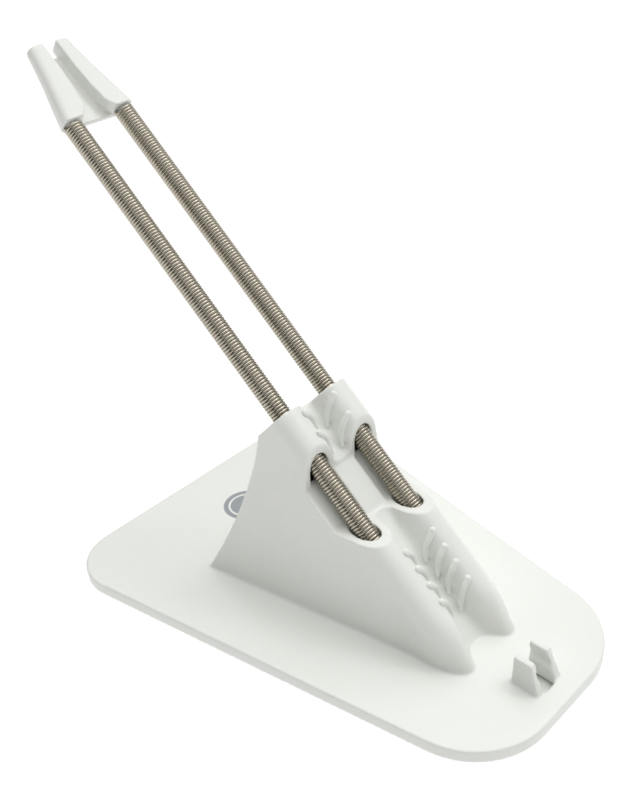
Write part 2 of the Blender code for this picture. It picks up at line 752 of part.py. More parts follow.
def make_head(paint):
    """The forked head: a tapering block with a cord groove, on two pegs in the springs."""

    def build(bm):
        bmesh.ops.create_cube(bm, size=1)
        for vert in bm.verts:
            top = vert.co.z > 0
            width = HEAD_TOP_WIDTH if top else HEAD_BOTTOM_WIDTH
            depth = HEAD_TOP_DEPTH if top else HEAD_BOTTOM_DEPTH
            vert.co = (vert.co.x * width, vert.co.y * depth, HEAD_LENGTH * (vert.co.z + 0.5))
        bmesh.ops.transform(bm, matrix=arm_matrix(ARM_LENGTH), verts=bm.verts)

    head = place("cord_head", mesh_of("cord_head", build), paint)
    edge = head.modifiers.new("edges", "BEVEL")
    edge.width = HEAD_EDGE
    edge.segments = 3
    groove = [
        (GROOVE_MOUTH_WIDTH / 2, -HEAD_EDGE),
        (GROOVE_WAIST_WIDTH / 2, GROOVE_WAIST),
        (GROOVE_TOP_WIDTH / 2, HEAD_LENGTH + HEAD_EDGE),
    ]
    groove += [(-x, along) for x, along in reversed(groove)]
    # An outline's own axes are across and along the arm, so its third points into the face.
    lying = Matrix(((1, 0, 0, 0), (0, 0, -1, 0), (0, 1, 0, 0), (0, 0, 0, 1)))
    deep = HEAD_BOTTOM_DEPTH
    lift = Matrix.Translation((0, GROOVE_FLOOR + deep / 2, 0))
    cut = prism("cord_groove", groove, deep, arm_matrix(ARM_LENGTH) @ lift @ lying)
    boolean(head, "DIFFERENCE", cut)
    tip = box(
        "tip_notch",
        (-GROOVE_TOP_WIDTH / 2, -deep, HEAD_LENGTH - TIP_NOTCH),
        (GROOVE_TOP_WIDTH / 2, deep, HEAD_LENGTH + HEAD_EDGE),
    )
    tip.data.transform(arm_matrix(ARM_LENGTH))
    boolean(head, "DIFFERENCE", tip)
    for side, sign in SIDES.items():
        x = sign * SPRING_SPACING / 2
        peg = rod(
            "head_peg_" + side,
            on_arm(x, ARM_LENGTH - HEAD_PEG_LENGTH),
            on_arm(x, ARM_LENGTH + HEAD_EDGE),
            PEG_RADIUS,
        )
        boolean(head, "UNION", peg)
    return head


def pivot(name, along, pieces, carrier=None):
    """An empty on a joint's axis, which carries the pieces that turn about it."""
    marker = bpy.data.objects.new(name, None)
    marker.location = on_arm(0, along)
    marker.rotation_euler = (ARM_TILT, 0, 0)
    marker.empty_display_size = SPRING_SPACING
    PIECES.objects.link(marker)
    if carrier:
        marker.location = (0, 0, along - carrier["along"])
        marker.rotation_euler = (0, 0, 0)
        marker.parent = carrier
    marker["along"] = along
    bpy.context.view_layer.update()
    for piece in pieces:
        piece.parent = marker
        piece.matrix_parent_inverse = marker.matrix_world.inverted()
    return marker


def make_pivots():
    """Hangs the arm's stretches and the head on the joints that move them."""

    def coils(stretch):
        return [bpy.data.objects[f"spring_{side}_{stretch}"] for side in SIDES]

    sway = pivot("arm_sway", SWAY_AT, coils("lower"))
    bend_lower = pivot("arm_bend_lower", LOWER_BEND_AT, coils("middle"), sway)
    pivot("arm_bend_upper", UPPER_BEND_AT, [*coils("upper"), bpy.data.objects["cord_head"]], bend_lower)


def make_stand():
    white = material("white_abs", (0.86, 0.86, 0.84), 0.38)
    grey = material("grey_abs", (0.30, 0.31, 0.32), 0.5)
    spring_steel = material("nickel_spring_wire", (0.62, 0.60, 0.56), 0.28, 1.0)
    steel = material("plated_steel", (0.55, 0.56, 0.57), 0.35, 1.0)
    iron = material("ballast_steel", (0.33, 0.33, 0.34), 0.5, 1.0)
    rubber = material("black_rubber", (0.04, 0.04, 0.04), 0.85)
    make_shell(white)
    make_cover(white)
    make_ballast(iron)
    for name, (x, y) in screw_places().items():
        head_low = (x, y, BASE_LOW + FIT_GAP)
        length = SCREW_LENGTH - FIT_GAP
        upward = (0, 0, 1)
        screw(
            "cover_screw_" + name,
            head_low,
            upward,
            SCREW_HEAD_RADIUS,
            SCREW_HEAD_HEIGHT,
            SCREW_RADIUS,
            length,
            steel,
        )
    for name, (x, y) in foot_places().items():
        make_foot(name, x, y, rubber)
    make_springs(spring_steel)
    for side, sign in SIDES.items():
        make_plug(side, sign, grey)
        make_grub(side, sign, steel)
    make_head(white)
    make_pivots()


for old in list(bpy.data.objects):
    bpy.data.objects.remove(old, do_unlink=True)
PIECES = collection("mouse_cord_holder")
CUTTERS = collection("cutters")
CUTTERS.hide_render = True
make_stand()
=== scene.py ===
"""Finished look of a desktop mouse cord holder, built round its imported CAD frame.

The moulded shell and the head get the soft edges and small fillets of injection moulding,
the two closely wound springs get their real coils, and every part gets its finish. Metres,
+Z up, and the wide front end of the base points to -Y.
"""

import json
import logging
import math
from dataclasses import dataclass
from enum import Enum

import bmesh
import bpy
from mathutils import Matrix, Vector


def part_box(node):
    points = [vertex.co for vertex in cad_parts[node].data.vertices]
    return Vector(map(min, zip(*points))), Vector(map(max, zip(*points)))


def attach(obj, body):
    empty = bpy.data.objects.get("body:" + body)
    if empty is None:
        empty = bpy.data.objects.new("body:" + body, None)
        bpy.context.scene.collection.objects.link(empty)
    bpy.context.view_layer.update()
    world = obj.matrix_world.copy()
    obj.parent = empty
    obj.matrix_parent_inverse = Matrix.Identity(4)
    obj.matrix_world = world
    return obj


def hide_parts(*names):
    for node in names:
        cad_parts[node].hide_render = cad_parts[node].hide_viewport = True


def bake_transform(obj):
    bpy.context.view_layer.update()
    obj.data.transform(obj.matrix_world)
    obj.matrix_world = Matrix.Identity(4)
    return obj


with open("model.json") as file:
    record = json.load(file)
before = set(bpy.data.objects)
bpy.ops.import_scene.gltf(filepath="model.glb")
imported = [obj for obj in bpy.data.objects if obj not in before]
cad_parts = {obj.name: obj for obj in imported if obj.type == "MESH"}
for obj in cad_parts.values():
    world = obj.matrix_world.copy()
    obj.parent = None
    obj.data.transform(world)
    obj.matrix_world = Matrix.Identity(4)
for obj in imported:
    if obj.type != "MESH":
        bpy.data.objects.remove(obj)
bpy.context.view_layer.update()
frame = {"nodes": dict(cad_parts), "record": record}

MM = 0.001
LOG = logging.getLogger("cord_holder")

UPRIGHT = 0.8  # least Z of an edge's direction that counts as upright
NOISE_LOW, NOISE_HIGH = 0.3, 0.7  # a noise texture's usual span

Colour = tuple[float, float, float, float]
Section = tuple[float, float, float, float]  # height, half width, back and front


class Side(Enum):
    """The two sides of the stand, each with the sign of its X."""

    LEFT = 1
    RIGHT = -1

    @property
    def word(self) -> str:
        """The side's name as the CAD nodes write it."""
        return self.name.lower()


# --- small tools ---------------------------------------------------------------------------


def srgb(code: str) -> Colour:
    """Turns an sRGB hex colour such as "#f1f0ec" into linear RGBA.

    Args:
        code: Six hex digits after a hash.

    Returns:
        The linear colour with an alpha of one.
    """
    parts = [int(code[i : i + 2], 16) / 255 for i in (1, 3, 5)]
    linear = [c / 12.92 if c <= 0.04045 else ((c + 0.055) / 1.055) ** 2.4 for c in parts]
    return (*linear, 1.0)


def select_only(*pieces: bpy.types.Object) -> None:
    """Deselects all, selects these objects and makes the first one active."""
    if bpy.context.mode != "OBJECT":
        bpy.ops.object.mode_set(mode="OBJECT")
    bpy.ops.object.select_all(action="DESELECT")
    for piece in pieces:
        piece.select_set(True)
    bpy.context.view_layer.objects.active = pieces[0]


def clear_selection() -> None:
    """Deselects every object, as a new primitive needs."""
    if bpy.context.mode != "OBJECT":
        bpy.ops.object.mode_set(mode="OBJECT")
    bpy.ops.object.select_all(action="DESELECT")


def named(name: str) -> bpy.types.Object:
    """Gives the object just added its name.

    Args:
        name: The name, for the object and its data.

    Returns:
        The object.
    """
    made = bpy.context.active_object
    made.name = name
    made.data.name = name
    return made


def settle(piece: bpy.types.Object, matrix: Matrix | None = None) -> bpy.types.Object:
    """Moves a piece's place into its mesh, so that its object is at the origin.

    Args:
        piece: The mesh object.
        matrix: A last move for it, or None.

    Returns:
        The same object.
    """
    if matrix:
        piece.matrix_world = matrix @ piece.matrix_world
    select_only(piece)
    bpy.ops.object.transform_apply(location=True, rotation=True, scale=True)
    return piece


def finish_modifier(piece: bpy.types.Object, kind: str, **settings: object) -> None:
    """Adds a modifier with these settings and applies it.

    Args:
        piece: The mesh object.
        kind: Blender's name for the modifier's type.
        **settings: The modifier's properties.
    """
    modifier = piece.modifiers.new(kind.lower(), kind)
    for key, value in settings.items():
        setattr(modifier, key, value)
    select_only(piece)
    bpy.ops.object.modifier_apply(modifier=modifier.name)


def cut(piece: bpy.types.Object, cutter: bpy.types.Object) -> None:
    """Takes a cutter's shape out of a piece, and removes the cutter."""
    finish_modifier(piece, "BOOLEAN", operation="DIFFERENCE", object=cutter, solver="EXACT")
    bpy.data.objects.remove(cutter, do_unlink=True)


def join(pieces: list[bpy.types.Object]) -> bpy.types.Object:
    """Joins meshes into the first of them and returns it."""
    select_only(*pieces)
    bpy.ops.object.join()
    return pieces[0]


def recalculate(piece: bpy.types.Object) -> None:
    """Merges a mesh's doubles and turns all of its faces outwards.

    Args:
        piece: The mesh object.
    """
    select_only(piece)
    bpy.ops.object.mode_set(mode="EDIT")
    bpy.ops.mesh.select_all(action="SELECT")
    bpy.ops.mesh.remove_doubles(threshold=MM / 1000)
    bpy.ops.mesh.normals_make_consistent(inside=False)
    bpy.ops.object.mode_set(mode="OBJECT")


def soften(piece: bpy.types.Object, voxel: float, passes: int) -> None:
    """Makes one skin of all that a piece holds, and rounds its edges and inner corners.

    Args:
        piece: The mesh object, of one or more closed overlapping shells.
        voxel: Side of the remesh's cubes, in metres.
        passes: How often the skin is smoothed.
    """
    finish_modifier(piece, "REMESH", mode="VOXEL", voxel_size=voxel, use_smooth_shade=True)
    finish_modifier(piece, "SMOOTH", factor=0.5, iterations=passes)


def thin_out(piece: bpy.types.Object, keep: float) -> None:
    """Thins out a skin where it is flat, and keeps the shading of the flats true.

    Args:
        piece: The mesh object.
        keep: Share of the faces that stays.
    """
    finish_modifier(piece, "DECIMATE", decimate_type="COLLAPSE", ratio=keep)
    piece.data.shade_smooth()
    finish_modifier(piece, "WEIGHTED_NORMAL", mode="FACE_AREA", weight=80, keep_sharp=True)


def section_stack(name: str, sections: list[Section]) -> bpy.types.Object:
    """A solid block through rectangles stacked along Z, extruded one from the next.

    Args:
        name: The object's name.
        sections: Height, half width in X, lowest Y and highest Y of each rectangle.

    Returns:
        The block, upright at the origin.
    """
    clear_selection()
    first, second = sections[:2]
    bpy.ops.mesh.primitive_cube_add(size=2, location=(0, 0, (first[0] + second[0]) / 2))
    block = named(name)
    for vert in block.data.vertices:
        z, half, low, high = second if vert.co.z > 0 else first
        vert.co = (math.copysign(half, vert.co.x), high if vert.co.y > 0 else low, z)
    block.location = (0, 0, 0)
    for below, above in zip(sections[1:], sections[2:]):
        extrude_top(block, below, above)
    return block


def extrude_top(block: bpy.types.Object, below: Section, above: Section) -> None:
    """Extrudes a block's top rectangle up to the next one, and resizes it.

    Args:
        block: The block, whose top face is the rectangle `below`.
        below: Height, half width, lowest Y and highest Y now.
        above: The same of the new top.
    """
    select_only(block)
    bpy.ops.object.mode_set(mode="EDIT")
    bpy.ops.mesh.select_mode(type="FACE")
    bpy.ops.mesh.select_all(action="DESELECT")
    mesh = bmesh.from_edit_mesh(block.data)
    max(mesh.faces, key=lambda face: face.calc_center_median().z).select_set(True)
    bmesh.update_edit_mesh(block.data)
    shift = ((above[2] + above[3]) - (below[2] + below[3])) / 2
    move = {"value": (0, shift, above[0] - below[0])}
    bpy.ops.mesh.extrude_region_move(TRANSFORM_OT_translate=move)
    wider = above[1] / below[1]
    deeper = (above[3] - above[2]) / (below[3] - below[2])
    centre = (0, (above[2] + above[3]) / 2, above[0])
    bpy.ops.transform.resize(value=(wider, deeper, 1), center_override=centre)
    bpy.ops.object.mode_set(mode="OBJECT")


def round_upright_edges(block: bpy.types.Object, radius: float) -> None:
    """Rounds the edges of a block that run mostly along Z.

    Args:
        block: The mesh object.
        radius: How far the rounding reaches over each face.
    """
    select_only(block)
    bpy.ops.object.mode_set(mode="EDIT")
    bpy.ops.mesh.select_mode(type="EDGE")
    bpy.ops.mesh.select_all(action="DESELECT")
    mesh = bmesh.from_edit_mesh(block.data)
    for edge in mesh.edges:
        along = (edge.verts[1].co - edge.verts[0].co).normalized()
        edge.select_set(abs(along.z) > UPRIGHT)
    bmesh.update_edit_mesh(block.data)
    bpy.ops.mesh.bevel(offset=radius, segments=8, affect="EDGES")
    bpy.ops.object.mode_set(mode="OBJECT")


def add_node(
    tree: bpy.types.NodeTree,
    kind: str,
    links: dict[str | int, bpy.types.NodeSocket] | None = None,
    values: dict[str | int, object] | None = None,
    **settings: object,
) -> bpy.types.Node:
    """Adds one shader node with its settings, values and incoming links.

    Args:
        tree: The material's or world's node tree.
        kind: The node's type, such as "ShaderNodeTexNoise".
        links: Output sockets by the name of the input that they feed.
        values: Constants by input name.
        **settings: The node's own properties.

    Returns:
        The node.
    """
    node = tree.nodes.new(kind)
    for key, value in settings.items():
        setattr(node, key, value)
    for key, value in (values or {}).items():
        node.inputs[key].default_value = value
    for key, socket in (links or {}).items():
        tree.links.new(socket, node.inputs[key])
    return node


def new_material(name: str) -> tuple[bpy.types.Material, bpy.types.NodeTree, bpy.types.Node]:
    """Makes a material with only a Principled shader and its output.

    Args:
        name: The finish's name.

    Returns:
        The material, its node tree and its shader.
    """
    material = bpy.data.materials.new(name)
    material.use_nodes = True
    tree = material.node_tree
    tree.nodes.clear()
    shader = add_node(tree, "ShaderNodeBsdfPrincipled")
    add_node(tree, "ShaderNodeOutputMaterial", {"Surface": shader.outputs["BSDF"]})
    return material, tree, shader


def dress(piece: bpy.types.Object, material: bpy.types.Material) -> None:
    """Gives a piece this one material."""
    piece.data.materials.clear()
    piece.data.materials.append(material)


# --- finishes ------------------------------------------------------------------------------


@dataclass(frozen=True)
class PrintedMark:
    """A plain grey disc inside a thin ring, printed on the base in front of the tower."""

    centre: tuple[float, float] = (0.0, -25.8 * MM)
    colour: str = "#979ca0"
    disc: float = 4.4 * MM
    ring_inside: float = 5.0 * MM
    ring_outside: float = 6.4 * MM
    top: float = 6.0 * MM
    edge: float = 0.12 * MM

    def over(
        self, tree: bpy.types.NodeTree, skin: bpy.types.NodeSocket, place: bpy.types.NodeSocket
    ) -> bpy.types.NodeSocket:
        """Prints the mark over a colour.

        Args:
            tree: The material's node tree.
            skin: The colour below.
            place: Object coordinates.

        Returns:
            The colour with the mark on it.
        """
        axes = add_node(tree, "ShaderNodeSeparateXYZ", {"Vector": place})
        level = {"X": axes.outputs["X"], "Y": axes.outputs["Y"]}
        flat = add_node(tree, "ShaderNodeCombineXYZ", level)
        away = add_node(
            tree,
            "ShaderNodeVectorMath",
            {0: flat.outputs["Vector"]},
            {1: (*self.centre, 0.0)},
            operation="DISTANCE",
        ).outputs["Value"]
        outer = self.inside(tree, away, self.ring_outside)
        inner = self.inside(tree, away, self.ring_inside)
        ring = add_node(tree, "ShaderNodeMath", {0: outer, 1: inner}, operation="SUBTRACT")
        shape = add_node(
            tree,
            "ShaderNodeMath",
            {0: ring.outputs["Value"], 1: self.inside(tree, away, self.disc)},
            operation="ADD",
        )
        low = self.inside(tree, axes.outputs["Z"], self.top)
        mask = add_node(
            tree, "ShaderNodeMath", {0: shape.outputs["Value"], 1: low}, operation="MULTIPLY"
        )
        mixed = add_node(
            tree, "ShaderNodeMix", {"Factor": mask.outputs["Value"], "A": skin}, data_type="RGBA"
        )
        mixed.inputs["B"].default_value = srgb(self.colour)
        return mixed.outputs["Result"]

    def inside(
        self, tree: bpy.types.NodeTree, value: bpy.types.NodeSocket, limit: float
    ) -> bpy.types.NodeSocket:
        """One where a value is below a limit, and zero above it, with a soft edge."""
        bounds = {
            "From Min": limit + self.edge,
            "From Max": limit - self.edge,
            "To Min": 0.0,
            "To Max": 1.0,
        }
        return add_node(tree, "ShaderNodeMapRange", {"Value": value}, bounds).outputs["Result"]


@dataclass(frozen=True)
class MouldedAbs:
    """Injection-moulded ABS from a lightly textured tool, so it has a soft, satin gloss.

    Its colour hardly varies. A fine, shallow texture breaks up its reflections, and light
    enters a little way before it comes out, which fills small shadows.
    """

    name: str
    colour: str
    shade: str
    roughness: float = 0.3
    texture_size: float = 0.5 * MM
    flow_size: float = 18 * MM
    glow: float = 0.12
    mark: "PrintedMark | None" = None

    def build(self) -> bpy.types.Material:
        """Makes the material.

        Returns:
            The material, not yet on a piece.
        """
        material, tree, shader = new_material(self.name)
        place = add_node(tree, "ShaderNodeTexCoord").outputs["Object"]
        flow = add_node(
            tree,
            "ShaderNodeTexNoise",
            {"Vector": place},
            {"Scale": 1 / self.flow_size, "Detail": 2.0, "Roughness": 0.45},
        )
        tint = add_node(
            tree,
            "ShaderNodeMix",
            {"Factor": flow.outputs["Fac"]},
            data_type="RGBA",
        )
        tint.inputs["A"].default_value = srgb(self.shade)
        tint.inputs["B"].default_value = srgb(self.colour)
        grain = add_node(
            tree,
            "ShaderNodeTexNoise",
            {"Vector": place},
            {"Scale": 1 / self.texture_size, "Detail": 3.0, "Roughness": 0.6},
        )
        satin = add_node(
            tree,
            "ShaderNodeMapRange",
            {"Value": grain.outputs["Fac"]},
            {
                "From Min": NOISE_LOW,
                "From Max": NOISE_HIGH,
                "To Min": self.roughness - 0.04,
                "To Max": self.roughness + 0.05,
            },
        )
        bump = add_node(
            tree,
            "ShaderNodeBump",
            {"Height": grain.outputs["Fac"]},
            {"Strength": 0.12, "Distance": 0.02 * MM},
        )
        skin = tint.outputs["Result"]
        if self.mark:
            skin = self.mark.over(tree, skin, place)
        tree.links.new(skin, shader.inputs["Base Color"])
        tree.links.new(satin.outputs["Result"], shader.inputs["Roughness"])
        tree.links.new(bump.outputs["Normal"], shader.inputs["Normal"])
        shader.inputs["IOR"].default_value = 1.53
        shader.inputs["Subsurface Weight"].default_value = self.glow
        shader.inputs["Subsurface Radius"].default_value = (1.0, 0.9, 0.8)
        shader.inputs["Subsurface Scale"].default_value = 0.8 * MM
        return material


@dataclass(frozen=True)
class DrawnWire:
    """Nickel-plated spring wire: bright, with faint lengthwise draw marks and a warm cast."""

    name: str = "nickel_plated_wire"
    colour: str = "#c8c2b3"
    dull: str = "#a69f92"
    mark_size: float = 0.6 * MM

    def build(self) -> bpy.types.Material:
        """Makes the material.

        Returns:
            The material, not yet on a piece.
        """
        material, tree, shader = new_material(self.name)
        place = add_node(tree, "ShaderNodeTexCoord").outputs["Object"]
        marks = add_node(
            tree,
            "ShaderNodeTexNoise",
            {"Vector": place},
            {"Scale": 1 / self.mark_size, "Detail": 3.0, "Roughness": 0.55},
        )
        tone = add_node(tree, "ShaderNodeMix", {"Factor": marks.outputs["Fac"]}, data_type="RGBA")
        tone.inputs["A"].default_value = srgb(self.dull)
        tone.inputs["B"].default_value = srgb(self.colour)
        sheen = add_node(
            tree,
            "ShaderNodeMapRange",
            {"Value": marks.outputs["Fac"]},
            {"From Min": NOISE_LOW, "From Max": NOISE_HIGH, "To Min": 0.2, "To Max": 0.32},
        )
        tree.links.new(tone.outputs["Result"], shader.inputs["Base Color"])
        tree.links.new(sheen.outputs["Result"], shader.inputs["Roughness"])
        shader.inputs["Metallic"].default_value = 1.0
        return material


@dataclass(frozen=True)
class PlainMetal:
    """Bare or plated steel of small hardware, lightly scratched across its faces."""

    name: str
    colour: str
    dull: str
    roughness: float
    scratch_size: float

    def build(self) -> bpy.types.Material:
        """Makes the material.

        Returns:
            The material, not yet on a piece.
        """
        material, tree, shader = new_material(self.name)
        place = add_node(tree, "ShaderNodeTexCoord").outputs["Object"]
        stretch = add_node(
            tree, "ShaderNodeMapping", {"Vector": place}, {"Scale": (1.0, 0.12, 1.0)}
        )
        scratch = add_node(
            tree,
            "ShaderNodeTexNoise",
            {"Vector": stretch.outputs["Vector"]},
            {"Scale": 1 / self.scratch_size, "Detail": 4.0, "Roughness": 0.6},
        )
        tone = add_node(tree, "ShaderNodeMix", {"Factor": scratch.outputs["Fac"]}, data_type="RGBA")
        tone.inputs["A"].default_value = srgb(self.dull)
        tone.inputs["B"].default_value = srgb(self.colour)
        sheen = add_node(
            tree,
            "ShaderNodeMapRange",
            {"Value": scratch.outputs["Fac"]},
            {
                "From Min": NOISE_LOW,
                "From Max": NOISE_HIGH,
                "To Min": self.roughness - 0.06,
                "To Max": self.roughness + 0.08,
            },
        )
        bump = add_node(
            tree,
            "ShaderNodeBump",
            {"Height": scratch.outputs["Fac"]},
            {"Strength": 0.2, "Distance": 0.02 * MM},
        )
        tree.links.new(tone.outputs["Result"], shader.inputs["Base Color"])
        tree.links.new(sheen.outputs["Result"], shader.inputs["Roughness"])
        tree.links.new(bump.outputs["Normal"], shader.inputs["Normal"])
        shader.inputs["Metallic"].default_value = 1.0
        return material


@dataclass(frozen=True)
class MouldedRubber:
    """Black rubber with a fine matte grain that dulls its highlights."""

    name: str = "moulded_black_rubber"
    colour: str = "#2a2a2b"
    worn: str = "#3a3a3a"
    grain_size: float = 0.25 * MM

    def build(self) -> bpy.types.Material:
        """Makes the material.

        Returns:
            The material, not yet on a piece.
        """
        material, tree, shader = new_material(self.name)
        place = add_node(tree, "ShaderNodeTexCoord").outputs["Object"]
        grain = add_node(
            tree,
            "ShaderNodeTexNoise",
            {"Vector": place},
            {"Scale": 1 / self.grain_size, "Detail": 3.0},
        )
        tone = add_node(tree, "ShaderNodeMix", {"Factor": grain.outputs["Fac"]}, data_type="RGBA")
        tone.inputs["A"].default_value = srgb(self.colour)
        tone.inputs["B"].default_value = srgb(self.worn)
        bump = add_node(
            tree,
            "ShaderNodeBump",
            {"Height": grain.outputs["Fac"]},
            {"Strength": 0.35, "Distance": 0.05 * MM},
        )
        tree.links.new(tone.outputs["Result"], shader.inputs["Base Color"])
        tree.links.new(bump.outputs["Normal"], shader.inputs["Normal"])
        shader.inputs["Roughness"].default_value = 0.8
        return material


# --- the arm's own axes --------------------------------------------------------------------


class ArmFrame:
    """The slanted axes of the springs: across, out of the arm's face, and along it.

    Distances along the arm start at the collar's face, and grow towards the head.
    """

    SWAY_ABOVE_COLLAR = 1.0 * MM

    def __init__(self) -> None:
        """Reads the axes from the CAD joints and the springs' boxes."""
        joints = {joint["name"]: joint for joint in frame["record"]["behaviour"]["joints"]}
        names = ("arm_sway", "arm_bend_lower", "arm_bend_upper")
        sway, lower, upper = (Vector(joints[name]["pos_m"]) for name in names)
        self.up = (upper - lower).normalized()
        self.normal = Vector(joints["arm_sway"]["axis"]).normalized()
        self.across = self.normal.cross(self.up).normalized()
        self.root = sway - self.up * self.SWAY_ABOVE_COLLAR
        self.bend_lower = (lower - self.root).dot(self.up)
        self.bend_upper = (upper - self.root).dot(self.up)
        low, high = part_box("spring_left_upper")
        self.spacing = low.x + high.x
        self.radius = (high.x - low.x) / 2

    def point(self, x: float, along: float, out: float = 0.0) -> Vector:
        """A point given across, along and out of the arm."""
        return self.root + self.across * x + self.up * along + self.normal * out

    def matrix(self, along: float = 0.0, x: float = 0.0) -> Matrix:
        """Lays a shape's X, Y and Z across, out of and along the arm."""
        turn = Matrix((self.across, self.normal, self.up)).transposed().to_4x4()
        return Matrix.Translation(self.point(x, along)) @ turn

    def span(self, node: str) -> tuple[float, float]:
        """A CAD node's lowest and highest distance along the arm."""
        mesh = frame["nodes"][node].data
        reach = [(vert.co - self.root).dot(self.up) for vert in mesh.vertices]
        return min(reach), max(reach)


# --- springs -------------------------------------------------------------------------------


@dataclass
class SpringPair:
    """The two closely wound springs, as real coils, each in four stretches along the arm."""

    arm: ArmFrame
    finish: DrawnWire
    wire: float = 0.8 * MM
    steps: int = 28
    wire_sides: int = 10
    seat_end: int = -10
    lower_end: int = 18
    middle_end: int = 48
    sway_length: float = 13.6 * MM

    def stretches(self) -> dict[str, tuple[int, int]]:
        """First and last turn of each stretch.

        Returns:
            The two turns by stretch, counted from the collar's face.
        """
        bottom = self.arm.span("spring_left_seat")[0]
        top = self.arm.span("spring_left_upper")[1]
        first = math.ceil(bottom / self.wire + 0.5)
        last = round(top / self.wire)
        return {
            "seat": (first, self.seat_end),
            "lower": (self.seat_end, self.lower_end),
            "middle": (self.lower_end, self.middle_end),
            "upper": (self.middle_end, last),
        }

    def coil(self, name: str, x: float, first: int, last: int) -> bpy.types.Object:
        """Winds one stretch of wire.

        Args:
            name: The piece's name.
            x: The spring's place across the arm.
            first: Turn that it starts at.
            last: Turn that it ends at.

        Returns:
            The closed coil, in place.
        """
        clear_selection()
        bpy.ops.mesh.primitive_circle_add(
            vertices=self.wire_sides,
            radius=self.wire / 2,
            location=(self.arm.radius - self.wire / 2, 0, 0),
            rotation=(math.pi / 2, 0, 0),
        )
        coil = settle(named(name))
        finish_modifier(
            coil,
            "SCREW",
            axis="Z",
            angle=math.tau,
            screw_offset=self.wire,
            iterations=last - first,
            steps=self.steps,
            render_steps=self.steps,
            use_smooth_shade=True,
        )
        self.close_ends(coil)
        return settle(coil, self.arm.matrix(first * self.wire, x))

    def close_ends(self, coil: bpy.types.Object) -> None:
        """Fills the two open ends of the wire and turns all faces outwards.

        Args:
            coil: The open coil.
        """
        select_only(coil)
        bpy.ops.object.mode_set(mode="EDIT")
        bpy.ops.mesh.select_mode(type="EDGE")
        bpy.ops.mesh.select_all(action="DESELECT")
        bpy.ops.mesh.select_non_manifold()
        bpy.ops.mesh.fill_holes(sides=self.wire_sides)
        bpy.ops.mesh.select_all(action="SELECT")
        bpy.ops.mesh.normals_make_consistent(inside=False)
        bpy.ops.object.mode_set(mode="OBJECT")
        bpy.ops.object.shade_smooth_by_angle(angle=math.radians(60))

    def build(self) -> None:
        """Winds and finishes every stretch of both springs, and fastens the seat stretches to the
        root.
        """
        material = self.finish.build()
        arm = self.arm
        bend, last_bend = arm.bend_lower, arm.bend_upper
        low, high = self.lower_end * self.wire, self.middle_end * self.wire
        reach = min(bend - low, high - bend)
        last_reach = last_bend - high
        zones = {
            "lower": ("root", "arm_lower", 0.0, self.sway_length),
            "middle": ("arm_lower", "arm_middle", bend - reach, bend + reach),
            "upper": ("arm_middle", "arm_upper", last_bend - last_reach, last_bend + last_reach),
        }
        for side in Side:
            for stretch, (first, last) in self.stretches().items():
                name = f"coil_{side.word}_{stretch}"
                piece = self.coil(name, side.value * arm.spacing / 2, first, last)
                dress(piece, material)
                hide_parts(f"spring_{side.word}_{stretch}")
                if stretch in zones:
                    below, above, start, end = zones[stretch]
                    arm.point(0, start)
                    arm.point(0, end)
                    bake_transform(piece)
                else:
                    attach(piece, "root")
                LOG.info("%s: %d turns", name, last - first)


# --- head ----------------------------------------------------------------------------------


